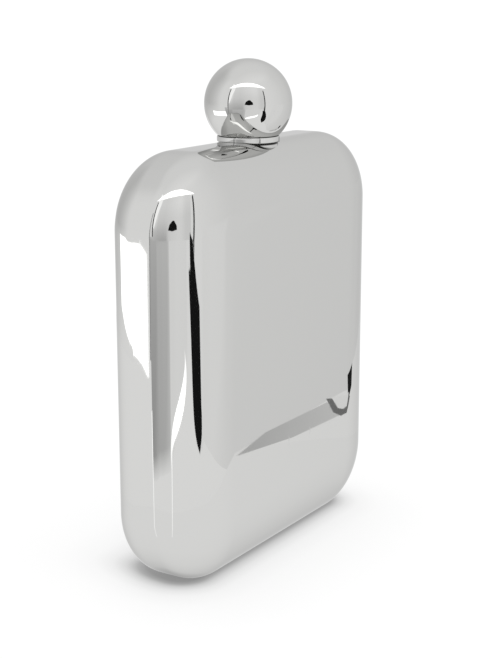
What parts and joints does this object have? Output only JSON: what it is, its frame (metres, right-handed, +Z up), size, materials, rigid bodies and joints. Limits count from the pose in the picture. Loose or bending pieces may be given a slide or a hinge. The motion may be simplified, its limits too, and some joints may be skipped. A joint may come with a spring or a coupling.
{
  "type": "hip flask",
  "caption": "Slim pillow-shaped metal hip flask with rounded corners and a hollow ball screw cap over a threaded pouring neck.",
  "frame": {"origin": "centre of the flat pressed into the base, on the plane where the two shells meet", "axes": "+X along the flask's width, +Y from the front face to the rear face through the depth, +Z up through the neck and cap"},
  "size_m": [0.09, 0.027, 0.1216],
  "materials": {
    "polished_body": "mirror polished",
    "polished_cap": "mirror polished",
    "turned_steel": "turned, satin",
    "seal": "matt food-grade rubber"
  },
  "bodies": {
    "flask": {"front_shell": "polished_body", "rear_shell": "polished_body", "threaded_neck": "turned_steel", "neck_backing_ring": "turned_steel"},
    "seal": {"seal_disc": "seal"},
    "cap": {"cap_ring": "polished_cap", "ball_lower_half": "polished_cap", "ball_upper_half": "polished_cap", "thread_bush": "turned_steel"}
  },
  "joints": [
    {"name": "cap_rise", "type": "slide", "parent": "flask", "child": "seal", "axis": [0, 0, 1], "range_m": [0, 0.01601]},
    {"name": "cap_turn", "type": "hinge", "parent": "seal", "child": "cap", "pos_m": [0, 0, 0.1104], "axis": [0, 0, 1], "range_deg": [0, 2880]}
  ],
  "couplings": [
    {"joint": "cap_rise", "follows": "cap_turn", "m_per_rad": 0.00031831}
  ]
}
